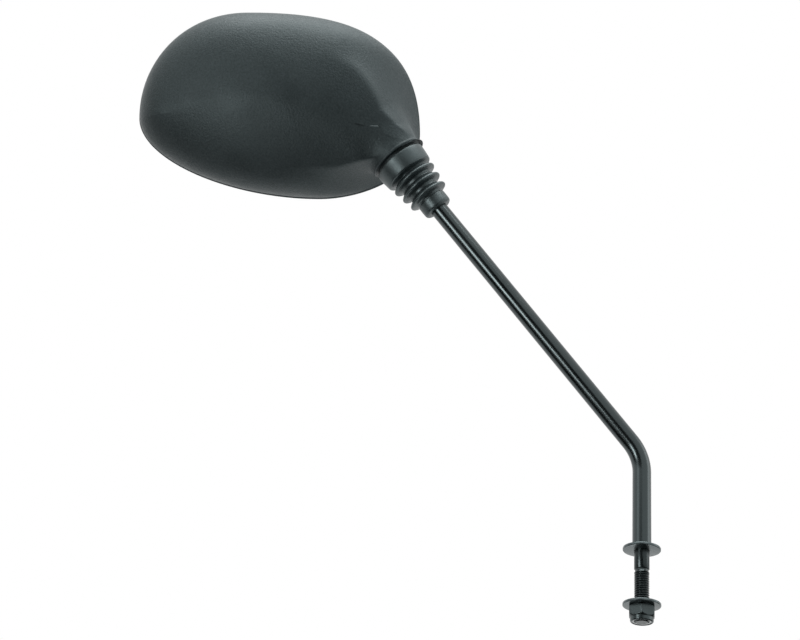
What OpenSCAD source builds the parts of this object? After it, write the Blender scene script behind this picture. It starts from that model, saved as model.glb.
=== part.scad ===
// Motorcycle mirror: a bent round stem, a ball joint under a rubber boot and a teardrop head.
// The origin is on the stud's axis, at the seat under the upper washer. Z runs up the stem,
// the bend lies in the XZ plane with the head on the -X side, and the glass faces +Y.
// All sizes are in millimetres.

/* [Stem] */
// Diameter of the round bar
stem_d = 10; // [8:0.5:14]
// Height from the bracket seat to where the two straight runs would meet
lower_run = 54.6; // [40:0.2:120]
// Length from that meeting point to the centre of the ball
upper_run = 224; // [120:1:320]
// Angle between the two straight runs
bend_angle = 43.4; // [20:0.2:70]
// Radius of the bar's centreline in the bend
bend_r = 25; // [15:1:60]

/* [Stud] */
// Outside diameter of the stud
stud_d = 8; // [6:1:10]
// Plain part of the stud below the bracket seat
shank_len = 10.4; // [6:0.2:20]
// Length of the groove where the thread runs out
relief_len = 1.9; // [1:0.1:4]
// Depth of that groove
relief_depth = 0.4; // [0.2:0.1:0.8]
// Length of the stud below the bracket seat
stud_len = 39; // [25:0.5:60]
// How far the thread's crests lie inside the shank's diameter
thread_under = 0.1; // [0.05:0.05:0.3]

/* [Washers and nut] */
// Outside diameter of both washers
washer_d = 20; // [16:0.5:28]
// Thickness of both washers
washer_t = 1.5; // [1:0.1:3]
// Hole in the washers, wider than the stud by this
washer_play = 0.4; // [0.2:0.1:1]
// Distance from the bracket seat to the lower washer's upper face
grip_gap = 28.9; // [14:0.1:36]
// Width across the nut's flats
nut_flats = 13; // [10:0.5:17]
// Height of the nut with its collar
nut_h = 8.6; // [6:0.1:12]
// Height of the hexagonal part
nut_hex_h = 6.3; // [4:0.1:9]
// Outside diameter of the collar round the nylon ring
nut_collar_d = 12.2; // [9:0.1:15]
// Outside diameter of the nylon ring
insert_d = 10.4; // [8.6:0.1:12]

/* [Ball joint] */
// Diameter of the ball
ball_d = 14; // [10:0.5:18]
// Diameter of the spigot that the ball is pressed on
spigot_d = 6; // [4:0.5:8]
// Diameter of the stem's neck below the ball
neck_d = 6.5; // [5:0.1:9]
// Wall of the two seats round the ball
seat_t = 2.5; // [1.5:0.1:4]
// Clearance between sliding spherical faces
slide_gap = 0.05; // [0.03:0.01:0.1]
// Angle from the stem's axis where the lower seat starts
ring_from = 44; // [40:1:50]
// Angle from the stem's axis where the lower seat ends
ring_to = 82; // [70:1:84]
// Angle from the stem's axis where the upper seat starts
cup_from = 100; // [99:1:120]
// Wire of the pressure spring
spring_wire = 1.6; // [1:0.1:2]
// Mean radius of the pressure spring's coil
spring_r = 5; // [3:0.5:6]
// Turns of the pressure spring
spring_turns = 2.6; // [2:0.1:3]

/* [Head] */
// Turn of the glass about the vertical
head_yaw = -12.3; // [-40:0.1:40]
// Upward tilt of the glass
head_pitch = 28.5; // [0:0.1:40]
// Roll of the head in its own plane
head_roll = -4.8; // [-20:0.1:20]
// Reach of the head from the ball to its far end
reach_far = 148.6; // [120:0.5:180]
// Reach of the head past the ball
reach_near = 16.7; // [14:0.5:24]
// Reach of the head above the ball
reach_up = 83.3; // [60:0.5:110]
// Reach of the head below the ball
reach_down = 25.7; // [20:0.5:40]
// Distance from the ball's centre to the rim's plane
rim_y = 24; // [22:0.5:32]
// Greatest depth of the shell behind the rim
shell_depth = 43; // [38:0.5:60]
// Wall of the shell
wall = 2.5; // [1.8:0.1:4]
// Width of the bead round the rim
bead = 0.8; // [0.4:0.1:2]
// Height of that bead
bead_h = 3; // [1:0.5:6]

/* [Glass] */
// Radius of the convex glass
glass_r = 1200; // [800:50:3000]
// Thickness of the glass
glass_t = 2; // [1.5:0.1:4]
// Thickness of the foam behind the glass
foam_t = 1; // [0.5:0.1:3]
// Thickness of the backing plate
plate_t = 2; // [1.5:0.1:4]
// How far the middle of the glass lies below the rim's plane
glass_drop = 0.5; // [0:0.1:3]
// Width of the rubber seal round the glass
seal_w = 1.6; // [1:0.1:4]
// Number of screws that hold the backing plate
plate_screw_count = 3; // [2:1:3]
// Shank diameter of all the small screws
screw_d = 3; // [2.5:0.1:4]
// Head diameter of all the small screws
screw_head_d = 5.6; // [4.5:0.1:7]

/* [Boot] */
// Outside diameter of the boot's upper collar
boot_d = 31; // [29:0.5:34]
// Length of the upper collar
boot_collar_len = 10.2; // [8:0.2:14]
// Distance from one rib to the next
rib_pitch = 6.3; // [5:0.1:8]
// Number of ribs
rib_count = 3; // [2:1:4]
// Loss of radius from one rib to the next
rib_taper = 0.9; // [0:0.05:1.5]
// Depth of the folds between the ribs
fold_depth = 2.9; // [1.5:0.1:4]
// Outside diameter of the lower collar
boot_tail_d = 17.2; // [14:0.2:20]
// Length of the lower collar
boot_tail_len = 7; // [5:0.2:12]
// Rubber's wall
boot_t = 1.3; // [1:0.1:2]

/* [Hidden] */
$fn = 64;
e = 0.01;                 // overlap of cutting bodies past a face
run_step = 0.04;          // the straight runs are this much thinner than the bend, so that they join cleanly
fit_gap = 0.02;           // radial play of pressed and screwed pieces
thread_play = 0.05;       // radial play of the nut on the stud
lay_gap = 0.1;            // room between stacked or nested pieces

ball_r = ball_d / 2;
seat_r = ball_r + slide_gap + seat_t;            // outer radius of both seats
socket_r = seat_r + slide_gap;                   // spherical seat in the housing
thread_d = stud_d - 2 * thread_under;
relief_d = stud_d - 2 * relief_depth;
bend_in = bend_r * tan(bend_angle / 2);          // straight run lost to the bend
ball_at = [-upper_run * sin(bend_angle), 0, lower_run + upper_run * cos(bend_angle)];

// The socket is coaxial with the upper run at rest; its X axis lies in the head's plane.
glass_n = [-sin(head_yaw) * cos(head_pitch), cos(head_yaw) * cos(head_pitch), sin(head_pitch)];
socket_turn = atan2(glass_n[1], glass_n[0] * cos(bend_angle) + glass_n[2] * sin(bend_angle)) - 90;
mouth = -6;                                      // end of the housing's neck, from the ball
mouth_r = boot_d / 2;                            // neck's outer radius there
sleeve_r = mouth_r - boot_t - lay_gap;           // sleeve that the boot's collar grips
sleeve_len = 8;
bore_r = seat_r + 0.3;                           // bore above the ball's centre
neck_from = 17;                                  // the stem's cone starts this far below the ball's centre
neck_cone = 2;                                   // height of that cone
spigot_end = 0.7;                                // the spigot ends this far inside the ball's top
chamfer = 1;                                     // at the stud's end
collar_chamfer = 0.8;                            // at the end of the nut's collar
nut_turn = 67.6;                                 // at rest one corner points straight back
insert_depth = 0.4;                              // the nylon ring lies this deep in the collar
sleeve_wall = 1.6;
boot_step = 1.5;                                 // gap between the neck's ring and the boot's collar
boss_r = bore_r + 2.6;
stack_s = sqrt(pow(seat_r + spring_wire / 2 + lay_gap, 2) - spring_r * spring_r);
spring_h = spring_turns * spring_wire * 1.35;
retain_s = stack_s + spring_h + spring_wire / 2 + lay_gap;   // underside of the retaining plate
retain_t = 1.5;
retain_screw_len = 7.5;
ear_x = bore_r + screw_d / 2 + 2.2;              // the retaining screws' distance from the axis
lug_r = screw_d / 2 + 1.8;

// Outline of the head in its own plane, as four Bezier quarters between the extreme points.
far_p = [-reach_far, 21.5];
top_p = [-84.7, reach_up];
near_p = [reach_near, 12.6];
low_p = [-42.6, -reach_down];
stations = 36;                                   // points along the upper and the lower edge
function bez(a, b, c, d, t) = pow(1 - t, 3) * a + 3 * pow(1 - t, 2) * t * b
                              + 3 * (1 - t) * t * t * c + pow(t, 3) * d;
function rim_at(t) = let (k = floor(4 * t), f = 4 * t - k)
    k == 0 ? bez(far_p, far_p + [0, 35.5], top_p - [36.4, 0], top_p, f) :
    k == 1 ? bez(top_p, top_p + [55.5, 0], near_p + [0, 60.3], near_p, f) :
    k == 2 ? bez(near_p, near_p - [0, 24.9], low_p + [25.8, 0], low_p, f) :
             bez(low_p, low_p - [52.5, 0], far_p - [0, 24.5], far_p, f);
ring_n = 2 * stations;
split = 0.58;                                    // where the ridge's near end meets the rim, at the neck
function rim_point(i) =
    rim_at(i <= stations ? split * i / stations : split + (1 - split) * (i / stations - 1));
function ring_share(i) = (i <= stations ? i : ring_n - i) / stations;
function rim_normal(i) = let (a = rim_point((i + ring_n - 1) % ring_n), b = rim_point((i + 1) % ring_n),
                              v = b - a) [v[1], -v[0]] / norm(v);
function inset(d) = [for (i = [0:ring_n - 1]) rim_point(i) + d * rim_normal(i)];

// The shell rises from the rim to a ridge that runs from the far end to the neck.
ridge_far = far_p + [15, 0];
ridge_near = [-7, 13];
ridge_lift = 12;                                 // how far the ridge arches up between its ends
tip_share = 0.6;                                 // depth at the far end, as a share of the whole
near_share = 0.9;                                // depth at the neck
function ridge(s) = ridge_far + s * (ridge_near - ridge_far) + [0, ridge_lift * sin(180 * s)];
function ridge_depth(s) = shell_depth * (s < 0.62
    ? tip_share + (1 - tip_share) * sin(90 * s / 0.62)
    : near_share + (1 - near_share) * cos(90 * (s - 0.62) / 0.38));
crease = [0.15, 0.25];                            // sharpness of the ridge, above and below it
function run_in(u) = 1 - cos(90 * u);
function rise(u, c) = (1 - c) * pow(sin(90 * u), 0.6) + c * run_in(u);
function shell_point(i, u, w) =
    let (p = rim_point(i) + w * rim_normal(i), s = ring_share(i), q = ridge(s),
         c = i <= stations ? crease[0] : crease[1], xz = p + (q - p) * run_in(u))
    [xz[0], rim_y - (ridge_depth(s) - w) * rise(u, c), xz[1]];

// A closed skin: outer rings, outer ridge, inner rings and inner ridge, joined along the rim.
outer_u = [0.12, 0.2, 0.3, 0.4, 0.5, 0.6, 0.7, 0.8, 0.9];
inner_u = [0.2, 0.3, 0.4, 0.5, 0.6, 0.7, 0.8, 0.9];
rim_rings = [
    [for (i = [0:ring_n - 1]) let (p = rim_point(i) + (bead / 2) * rim_normal(i)) [p[0], rim_y, p[1]]],
    [for (i = [0:ring_n - 1]) let (p = rim_point(i)) [p[0], rim_y - bead / 2, p[1]]],
    [for (i = [0:ring_n - 1]) let (p = rim_point(i)) [p[0], rim_y - bead_h + bead / 2, p[1]]],
    [for (i = [0:ring_n - 1]) let (p = rim_point(i) + bead * rim_normal(i)) [p[0], rim_y - bead_h, p[1]]]];
outer_rings = [for (u = outer_u) [for (i = [0:ring_n - 1]) shell_point(i, u, bead)]];
pack_depth = 9;                                  // straight pocket for the glass pack
function pocket(d, w) = [for (i = [0:ring_n - 1])
    let (p = rim_point(i) + w * rim_normal(i)) [p[0], rim_y - d, p[1]]];
function under(p, u) = [p[0], min(p[1], rim_y - pack_depth - u), p[2]];
inner_rims = [pocket(0, bead + wall), pocket(pack_depth, bead + wall),
              pocket(pack_depth + 0.1, bead + wall + 1.2)];
inner_rings = [for (u = inner_u) [for (i = [0:ring_n - 1])
    under(shell_point(i, u, bead + wall + 1.2 * (1 - u)), u)]];
outer_ridge = [for (k = [0:stations]) let (q = ridge(k / stations))
               [q[0], rim_y - ridge_depth(k / stations) + bead, q[1]]];
inner_ridge = [for (k = [0:stations]) let (q = ridge(k / stations))
               [q[0], rim_y - ridge_depth(k / stations) + bead + wall, q[1]]];
function flat(l) = [for (a = l) for (b = a) b];
function band(a, b, side) = [for (i = [0:ring_n - 1]) let (j = (i + 1) % ring_n)
    for (f = [[a + i, a + j, b + j], [a + i, b + j, b + i]]) side > 0 ? f : [f[2], f[1], f[0]]];
function cap_faces(a, r, side) = [for (i = [0:ring_n - 1])
    let (j = (i + 1) % ring_n, p = r + (i <= stations ? i : ring_n - i),
         q = r + (j <= stations ? j : ring_n - j))
    for (f = [[a + i, a + j, q], [a + i, q, p]]) side > 0 ? f : [f[2], f[1], f[0]]];

module at_upper() translate(ball_at) rotate([0, -bend_angle, 0]) children();
module at_socket() at_upper() rotate([0, 0, socket_turn]) children();
module at_head() translate(ball_at) rotate([0, 0, head_yaw]) rotate([head_pitch, 0, 0])
    rotate([0, head_roll, 0]) children();
// Draws a shape given in the head's plane so that it grows towards the glass from y.
module towards_glass(y) translate([0, y, 0]) rotate([90, 0, 0]) mirror([0, 0, 1]) children();

module skin() {
    outer = concat(rim_rings, outer_rings);
    inner = concat(inner_rims, inner_rings);
    no = len(outer);
    ni = len(inner);
    first_in = no * ring_n + stations + 1;
    points = concat(flat(outer), outer_ridge, flat(inner), inner_ridge);
    faces = concat(
        [for (k = [0:no - 2]) each band(k * ring_n, (k + 1) * ring_n, 1)],
        cap_faces((no - 1) * ring_n, no * ring_n, 1),
        [for (k = [0:ni - 2]) each band(first_in + k * ring_n, first_in + (k + 1) * ring_n, -1)],
        cap_faces(first_in + (ni - 1) * ring_n, first_in + ni * ring_n, -1),
        band(0, first_in, -1));
    polyhedron(points = points, faces = faces, convexity = 6);
}

// One layer of the glass pack: an outline cut out of a thick spherical shell.
glass_fn = 400;                                  // so that the large spheres are close to round
pack_mid = (far_p + near_p) / 2 + [0, 8];
module pack_layer(side, back, front) {
    intersection() {
        towards_glass(rim_y - 30) linear_extrude(height = 40) polygon(inset(side));
        translate([pack_mid[0], rim_y - glass_drop - glass_r, pack_mid[1]]) difference() {
            sphere(r = glass_r - front, $fn = glass_fn);
            sphere(r = glass_r - back, $fn = glass_fn);
        }
    }
}
module pack_hole(side) towards_glass(rim_y - 30) linear_extrude(height = 40) polygon(inset(side));

plate_side = bead + wall + lay_gap;
glass_side = plate_side + seal_w + lay_gap;
foam_back = glass_t + foam_t;
plate_back = foam_back + plate_t;
function pack_sag(p) = pow(norm(p - pack_mid), 2) / (2 * glass_r);
// Each boss ends inside the shell's wall: station along the edge and share of the way to the ridge.
plate_screw_at = [for (a = [[9, 0.6], [22, 0.5], [56, 0.62]]) shell_point(a[0], a[1], bead + 0.8 * wall)];
function plate_y(p) = rim_y - glass_drop - foam_back - pack_sag([p[0], p[2]]);

module plate_screw_places()
    for (k = [0:plate_screw_count - 1]) let (p = plate_screw_at[k])
        translate([p[0], plate_y(p), p[2]]) rotate([-90, 0, 0]) children();

module stem() color("#1b1c1e") {
    difference() {
        union() {
            translate([0, 0, washer_t])
                cylinder(h = lower_run - bend_in - washer_t + e, d = stem_d - run_step);
            translate([-bend_r, 0, lower_run - bend_in]) rotate([90, 0, 0])
                rotate_extrude(angle = bend_angle) translate([bend_r, 0]) circle(d = stem_d);
            at_upper() translate([0, 0, bend_in - upper_run - e])
                cylinder(h = upper_run - bend_in - neck_from + 2 * e, d = stem_d - run_step);
            at_upper() translate([0, 0, -neck_from]) cylinder(h = neck_cone, d1 = stem_d, d2 = neck_d);
            at_upper() translate([0, 0, neck_cone - neck_from - e])
                cylinder(h = neck_from - neck_cone - ball_r + spigot_end, d = neck_d);
            at_upper() translate([0, 0, -ball_r]) cylinder(h = 2 * ball_r - spigot_end, d = spigot_d);
            translate([0, 0, -shank_len]) cylinder(h = shank_len + e, d = stud_d);
            cylinder(h = washer_t + e, d = stud_d + washer_play - 2 * fit_gap);
            translate([0, 0, -shank_len - relief_len - e]) cylinder(h = relief_len + 2 * e, d = relief_d);
            translate([0, 0, chamfer - stud_len - e])
                cylinder(h = stud_len - chamfer - shank_len - relief_len + e, d = thread_d);
            translate([0, 0, -stud_len]) cylinder(h = chamfer, d1 = thread_d - 2 * chamfer, d2 = thread_d);
        }
    }
}

module ball() color("#8d9094") at_upper() difference() {
    sphere(r = ball_r);
    cylinder(h = 3 * ball_r, d = spigot_d + 2 * fit_gap, center = true);
    translate([0, 0, -1.5 * ball_r])
        cylinder(h = 0.5 * ball_r + spigot_end + slide_gap, d = neck_d + 2 * fit_gap);
}

module washer(z) translate([0, 0, z]) difference() {
    cylinder(h = washer_t, d = washer_d);
    translate([0, 0, -e]) cylinder(h = washer_t + 2 * e, d = stud_d + washer_play);
}

module upper_washer() color("#232427") washer(0);

module lower_washer() color("#232427") washer(-grip_gap - washer_t);

module lock_nut() color("#3a3b3e") translate([0, 0, -grip_gap - washer_t - nut_h]) difference() {
    intersection() {
        union() {
            translate([0, 0, nut_h - nut_hex_h]) rotate([0, 0, nut_turn])
                cylinder(h = nut_hex_h, d = nut_flats / cos(30), $fn = 6);
            translate([0, 0, collar_chamfer]) cylinder(h = nut_h - nut_hex_h, d = nut_collar_d);
            cylinder(h = collar_chamfer, d1 = nut_collar_d - 1.75 * collar_chamfer, d2 = nut_collar_d);
        }
        translate([0, 0, nut_h - nut_hex_h - 5])
            cylinder(h = 5 + nut_hex_h, d1 = nut_flats - 8, d2 = nut_flats + 12);
    }
    translate([0, 0, -e]) cylinder(h = nut_h + 2 * e, d = thread_d + 2 * thread_play);
    translate([0, 0, -e]) cylinder(h = nut_h - nut_hex_h + e, d = insert_d + 2 * fit_gap);
}

module nut_insert() color("#d9d6c8")
translate([0, 0, -grip_gap - washer_t - nut_h + insert_depth]) difference() {
    cylinder(h = nut_h - nut_hex_h - insert_depth, d = insert_d);
    translate([0, 0, -e]) cylinder(h = nut_h, d = thread_d + 2 * thread_play);
}

module friction_ring() color("#c9c6bb") at_upper() difference() {
    sphere(r = seat_r);
    sphere(r = ball_r + slide_gap);
    translate([0, 0, -seat_r * cos(ring_to)]) cylinder(h = 2 * seat_r, r = 2 * seat_r);
    translate([0, 0, -2 * seat_r]) cylinder(h = 2 * seat_r, r1 = 2 * seat_r * tan(ring_from), r2 = 0);
}

module pressure_cup() color("#c9c6bb") at_upper() difference() {
    sphere(r = seat_r);
    sphere(r = ball_r + slide_gap);
    translate([0, 0, -2 * seat_r + seat_r * sin(cup_from - 90)]) cylinder(h = 2 * seat_r, r = 2 * seat_r);
}

// Round bellows: an upper collar, ribs that get smaller, and a lower collar on the stem.
module boot() color("#202124") at_upper() {
    first_rib = boot_collar_len + 4.5;
    tail_from = first_rib + (rib_count - 1) * rib_pitch + 2.6;
    collar_end_r = mouth_r - 1;
    fold_r = function (k) mouth_r - 1.6 - k * rib_taper - fold_depth;
    rib_r = function (k) mouth_r - 1.6 - k * rib_taper;
    outer = concat(
        [[mouth_r - 0.5, 0], [mouth_r, -0.5], [collar_end_r, -boot_collar_len + 0.6],
         [collar_end_r - 0.7, -boot_collar_len], [fold_r(0) + 0.7, -boot_collar_len - 0.4],
         [fold_r(0), -boot_collar_len - 1.2]],
        [for (k = [0:rib_count - 1]) let (s = -first_rib - k * rib_pitch, r = rib_r(k))
            for (p = [[fold_r(k), s + 2.3], [fold_r(k) + 1.1, s + 1.9], [fold_r(k) + 1.1, s + 1.4],
                      [r - 0.4, s + 0.9], [r, s + 0.4], [r, s - 0.4], [r - 0.4, s - 0.8],
                      [fold_r(k + 1) + 0.6, s - 1.3], [fold_r(k + 1), s - 2]]) p],
        [[boot_tail_d / 2 - 0.5, -tail_from], [boot_tail_d / 2, -tail_from - 0.6],
         [boot_tail_d / 2, -tail_from - boot_tail_len + 1.2],
         [boot_tail_d / 2 - 0.9, -tail_from - boot_tail_len]]);
    bore = stem_d / 2 + slide_gap;
    inner = concat(
        [[bore, -tail_from - boot_tail_len], [bore, -tail_from - 0.6]],
        [for (k = [rib_count - 1:-1:0]) let (s = -first_rib - k * rib_pitch)
            for (p = [[fold_r(k + 1) - boot_t, s - 1.6], [rib_r(k) - boot_t - 0.3, s],
                      [fold_r(k) - boot_t, s + 1.8]]) p],
        [[fold_r(0) - boot_t, -boot_collar_len + 0.2], [sleeve_r + lay_gap, -sleeve_len - lay_gap - 0.4],
         [sleeve_r + lay_gap, 0]]);
    translate([0, 0, mouth - boot_step]) rotate_extrude() polygon(concat(outer, inner));
}

// The neck swells from the boot's ring to the width of the ears and sinks into the shell.
module fairing() difference() {
    at_socket() hull() {
        translate([0, 0, mouth]) cylinder(h = 3, r = mouth_r + 0.6, $fn = 32);
        translate([0, 0, retain_s]) scale([(ear_x + lug_r + 2.2) / (mouth_r - 0.4), 1, 1])
            cylinder(h = 3, r = mouth_r - 0.4, $fn = 32);
        translate([0, 0, 2.4 * retain_s]) scale([1, 0.4, 1]) cylinder(h = 1, r = mouth_r, $fn = 32);
    }
    at_head() translate([-reach_far, rim_y - pack_depth - 0.2, -reach_down]) cube(2 * reach_far);
}

module housing() color("#4b4f50") difference() {
    union() {
        difference() {
            at_head() skin();
            at_socket() translate([0, 0, mouth - 40]) cylinder(h = 40, r = mouth_r + 2.5);
        }
        fairing();
        at_socket() translate([0, 0, mouth - sleeve_len]) cylinder(h = sleeve_len + 1, r = sleeve_r);
        at_head() for (k = [0:plate_screw_count - 1]) let (p = plate_screw_at[k])
            translate(p) rotate([-90, 0, 0]) cylinder(h = plate_y(p) - plate_t - lay_gap - p[1], r = lug_r);
    }
    at_socket() {
        sphere(r = socket_r);
        translate([0, 0, mouth - sleeve_len - e]) cylinder(h = sleeve_len - 3.4, r = sleeve_r - sleeve_wall);
        translate([0, 0, -2 * socket_r])
            cylinder(h = 2 * socket_r, r1 = 2 * socket_r * tan(ring_from - 0.5), r2 = 0);
        cylinder(h = retain_s + 1, r = bore_r);
        for (x = [-ear_x, ear_x]) translate([x, 0, retain_s - 8]) cylinder(h = 9, r = screw_d / 2 + fit_gap);
        translate([0, 0, retain_s]) retainer_shape(0.3, 5);
    }
    at_head() plate_screw_places() translate([0, 0, -plate_t - 8])
        cylinder(h = 30, r = screw_d / 2 + fit_gap);
}

module spring() color("#9a9c9f") at_socket() {
    steps = ceil(spring_turns * 24);
    sides = 10;
    at = [for (k = [0:steps]) let (a = k * 360 * spring_turns / steps)
          for (j = [0:sides - 1]) let (b = j * 360 / sides, r = spring_r + spring_wire / 2 * cos(b))
              [r * cos(a), r * sin(a), stack_s + spring_h * k / steps + spring_wire / 2 * sin(b)]];
    polyhedron(points = at, faces = concat(
        [[for (j = [0:sides - 1]) j]], [[for (j = [sides - 1:-1:0]) steps * sides + j]],
        [for (k = [0:steps - 1]) for (j = [0:sides - 1])
            let (m = (j + 1) % sides, a = k * sides, b = a + sides)
            for (f = [[a + j, b + j, b + m], [a + j, b + m, a + m]]) f]), convexity = 6);
}

module retainer_shape(grow, h) {
    cylinder(h = h, r = boss_r + grow);
    translate([-ear_x, -lug_r - grow, 0]) cube([2 * ear_x, 2 * (lug_r + grow), h]);
    for (x = [-ear_x, ear_x]) translate([x, 0, 0]) cylinder(h = h, r = lug_r + grow);
}

module retainer_plate() color("#a4a6a8") at_socket() translate([0, 0, retain_s]) difference() {
    union() retainer_shape(0, retain_t);
    for (x = [-ear_x, ear_x]) translate([x, 0, -e]) cylinder(h = 4, r = screw_d / 2 + lay_gap);
}

module small_screw(length) {
    translate([0, 0, -length]) cylinder(h = length + e, d = screw_d);
    cylinder(h = 0.6, d = screw_head_d);
    translate([0, 0, 0.6]) cylinder(h = 1, d1 = screw_head_d, d2 = screw_head_d - 2);
}

module retainer_screws() color("#b0b2b4") at_socket()
    for (x = [-ear_x, ear_x]) translate([x, 0, retain_s + retain_t]) small_screw(retain_screw_len);

module backing_plate() color("#2d2f31") at_head() difference() {
    pack_layer(plate_side, plate_back, foam_back);
    plate_screw_places() translate([0, 0, -20]) cylinder(h = 40, r = screw_d / 2 + lay_gap);
    plate_screw_places() translate([0, 0, -1.3]) cylinder(h = 3, d1 = screw_d + 0.6, d2 = screw_d + 8);
}

module plate_screws() color("#b0b2b4") at_head() plate_screw_places() {
    translate([0, 0, -8.5]) cylinder(h = 8, d = screw_d);
    translate([0, 0, -1.3]) cylinder(h = 1, d1 = screw_d, d2 = screw_head_d - 1);
}

module foam_pad() color("#56585a") at_head() pack_layer(glass_side, foam_back, glass_t);

module glass() color("#c8d2d8") at_head() pack_layer(glass_side, glass_t, 0);

module rim_seal() color("#17181a") at_head() difference() {
    pack_layer(plate_side, foam_back, -0.3);
    pack_hole(glass_side - lay_gap);
}

stem();
ball();
upper_washer();
friction_ring();
pressure_cup();
boot();
housing();
spring();
retainer_plate();
retainer_screws();
backing_plate();
plate_screws();
foam_pad();
glass();
rim_seal();
lower_washer();
lock_nut();
nut_insert();
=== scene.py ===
import math
import bpy
from mathutils import Matrix, Vector


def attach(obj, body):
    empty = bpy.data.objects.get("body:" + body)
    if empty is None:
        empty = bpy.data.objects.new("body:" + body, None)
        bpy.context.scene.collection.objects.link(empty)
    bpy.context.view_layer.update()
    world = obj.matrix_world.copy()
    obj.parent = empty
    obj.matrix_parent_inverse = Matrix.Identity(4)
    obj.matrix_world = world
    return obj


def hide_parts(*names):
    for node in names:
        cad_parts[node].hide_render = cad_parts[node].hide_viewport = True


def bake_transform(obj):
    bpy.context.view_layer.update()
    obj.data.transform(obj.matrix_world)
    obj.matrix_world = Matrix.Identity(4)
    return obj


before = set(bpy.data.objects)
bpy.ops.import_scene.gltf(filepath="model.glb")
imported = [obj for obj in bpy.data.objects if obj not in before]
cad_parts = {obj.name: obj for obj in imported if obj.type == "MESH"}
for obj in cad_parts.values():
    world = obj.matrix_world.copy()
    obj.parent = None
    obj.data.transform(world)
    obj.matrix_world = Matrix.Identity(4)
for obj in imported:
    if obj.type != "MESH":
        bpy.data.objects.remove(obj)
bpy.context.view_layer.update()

# Camera. It stands below the mirror and a little to its left, and looks up at the back of the head,
# square to the glass, as the photograph does.
CAMERA_AT = (-0.2993, -0.7270, -0.2944)
CAMERA_YAW, CAMERA_PITCH, CAMERA_ROLL = (math.radians(a) for a in (-12.32, 28.49, -4.84))
eye = bpy.data.objects.new("camera", bpy.data.cameras.new("camera"))
bpy.context.collection.objects.link(eye)
eye.data.sensor_width = 36.0
eye.data.lens = 70.07
eye.data.clip_start, eye.data.clip_end = 0.05, 20.0
eye.matrix_world = (Matrix.Translation(CAMERA_AT) @ Matrix.Rotation(CAMERA_YAW, 4, "Z")
                    @ Matrix.Rotation(CAMERA_PITCH, 4, "X") @ Matrix.Rotation(CAMERA_ROLL, 4, "Y")
                    @ Matrix.Rotation(math.radians(90), 4, "X"))
bpy.context.scene.camera = eye

# Stem. A 10 mm steel bar with one bend, turned down to a neck at the top for the ball and to an
# 8 mm stud at the bottom. It is coated in gloss black.
MM = 0.001
UP, SIDEWAYS = Vector((0, 0, 1)), Vector((1, 0, 0))
BAR_R = 5.0 * MM
BEND = math.radians(43.4)
BEND_R = 25 * MM
LOWER_RUN = 54.6 * MM
UPPER_RUN = 224 * MM
SHOULDER, SHOULDER_EDGE = 1.5 * MM, 0.25 * MM
NECK_FROM, NECK_R = -17 * MM, 3.25 * MM
PIN_FROM, PIN_TO, PIN_R = -6.4 * MM, 6.2 * MM, 3 * MM
BAR_SIDES = 64
LOWER_ROWS, BEND_ROWS, UPPER_ROWS = 12, 40, 40
UPPER_DIR = Vector((-math.sin(BEND), 0, math.cos(BEND)))
UPPER_SIDE = Vector((math.cos(BEND), 0, math.sin(BEND)))
BALL_AT = Vector((-UPPER_RUN * math.sin(BEND), 0, LOWER_RUN + UPPER_RUN * math.cos(BEND)))


def ring_at(centre, across, normal, radius, count=BAR_SIDES):
    """A round ring of points about centre; across is its first direction and normal its axis."""
    other = normal.cross(across)
    return [centre + radius * (math.cos(a) * across + math.sin(a) * other)
            for a in (2 * math.pi * i / count for i in range(count))]


def ring_faces(n, rows, first=0):
    """The faces between rings of n points that follow one another, each closed on itself."""
    return [(first + k * n + i, first + k * n + (i + 1) % n, first + (k + 1) * n + (i + 1) % n,
             first + (k + 1) * n + i) for k in range(rows - 1) for i in range(n)]


def skin_rings(name, rings, ends=True):
    """A piece skinned over rings of points; its ends are closed with flat faces."""
    n = len(rings[0])
    faces = ring_faces(n, len(rings))
    if ends:
        faces += [tuple(range(n - 1, -1, -1)), tuple((len(rings) - 1) * n + i for i in range(n))]
    mesh = bpy.data.meshes.new(name)
    mesh.from_pydata([tuple(p) for ring in rings for p in ring], [], faces)
    mesh.update()
    piece = bpy.data.objects.new(name, mesh)
    bpy.context.collection.objects.link(piece)
    for face in mesh.polygons:
        face.use_smooth = len(face.vertices) == 4
    return piece


def keep_edges(piece, degrees=32):
    """Edges sharper than the angle stay sharp."""
    limit = math.radians(degrees)
    normals = {}
    for face in piece.data.polygons:
        for key in face.edge_keys:
            normals.setdefault(key, []).append(face.normal)
    for edge in piece.data.edges:
        near = normals.get(tuple(sorted(edge.vertices)), [])
        edge.use_edge_sharp = len(near) == 2 and near[0].angle(near[1], 0) > limit
    return piece


foot = ((SHOULDER, BAR_R - 0.4 * MM), (SHOULDER, BAR_R - SHOULDER_EDGE), (SHOULDER + SHOULDER_EDGE, BAR_R))
bar_rings = [ring_at(Vector((0, 0, z)), SIDEWAYS, UP, r) for z, r in foot]
bend_in = BEND_R * math.tan(BEND / 2)
bend_low = LOWER_RUN - bend_in
for k in range(1, LOWER_ROWS + 1):
    z = SHOULDER + (bend_low - SHOULDER) * k / LOWER_ROWS
    bar_rings.append(ring_at(Vector((0, 0, z)), SIDEWAYS, UP, BAR_R))
for k in range(1, BEND_ROWS + 1):
    a = BEND * k / BEND_ROWS
    out, along = Vector((math.cos(a), 0, math.sin(a))), Vector((-math.sin(a), 0, math.cos(a)))
    bar_rings.append(ring_at(Vector((-BEND_R, 0, bend_low)) + BEND_R * out, out, along, BAR_R))
bend_high = bend_in - UPPER_RUN
upper_bar = [(bend_high + (NECK_FROM - bend_high) * k / UPPER_ROWS, BAR_R) for k in range(1, UPPER_ROWS + 1)]
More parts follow.
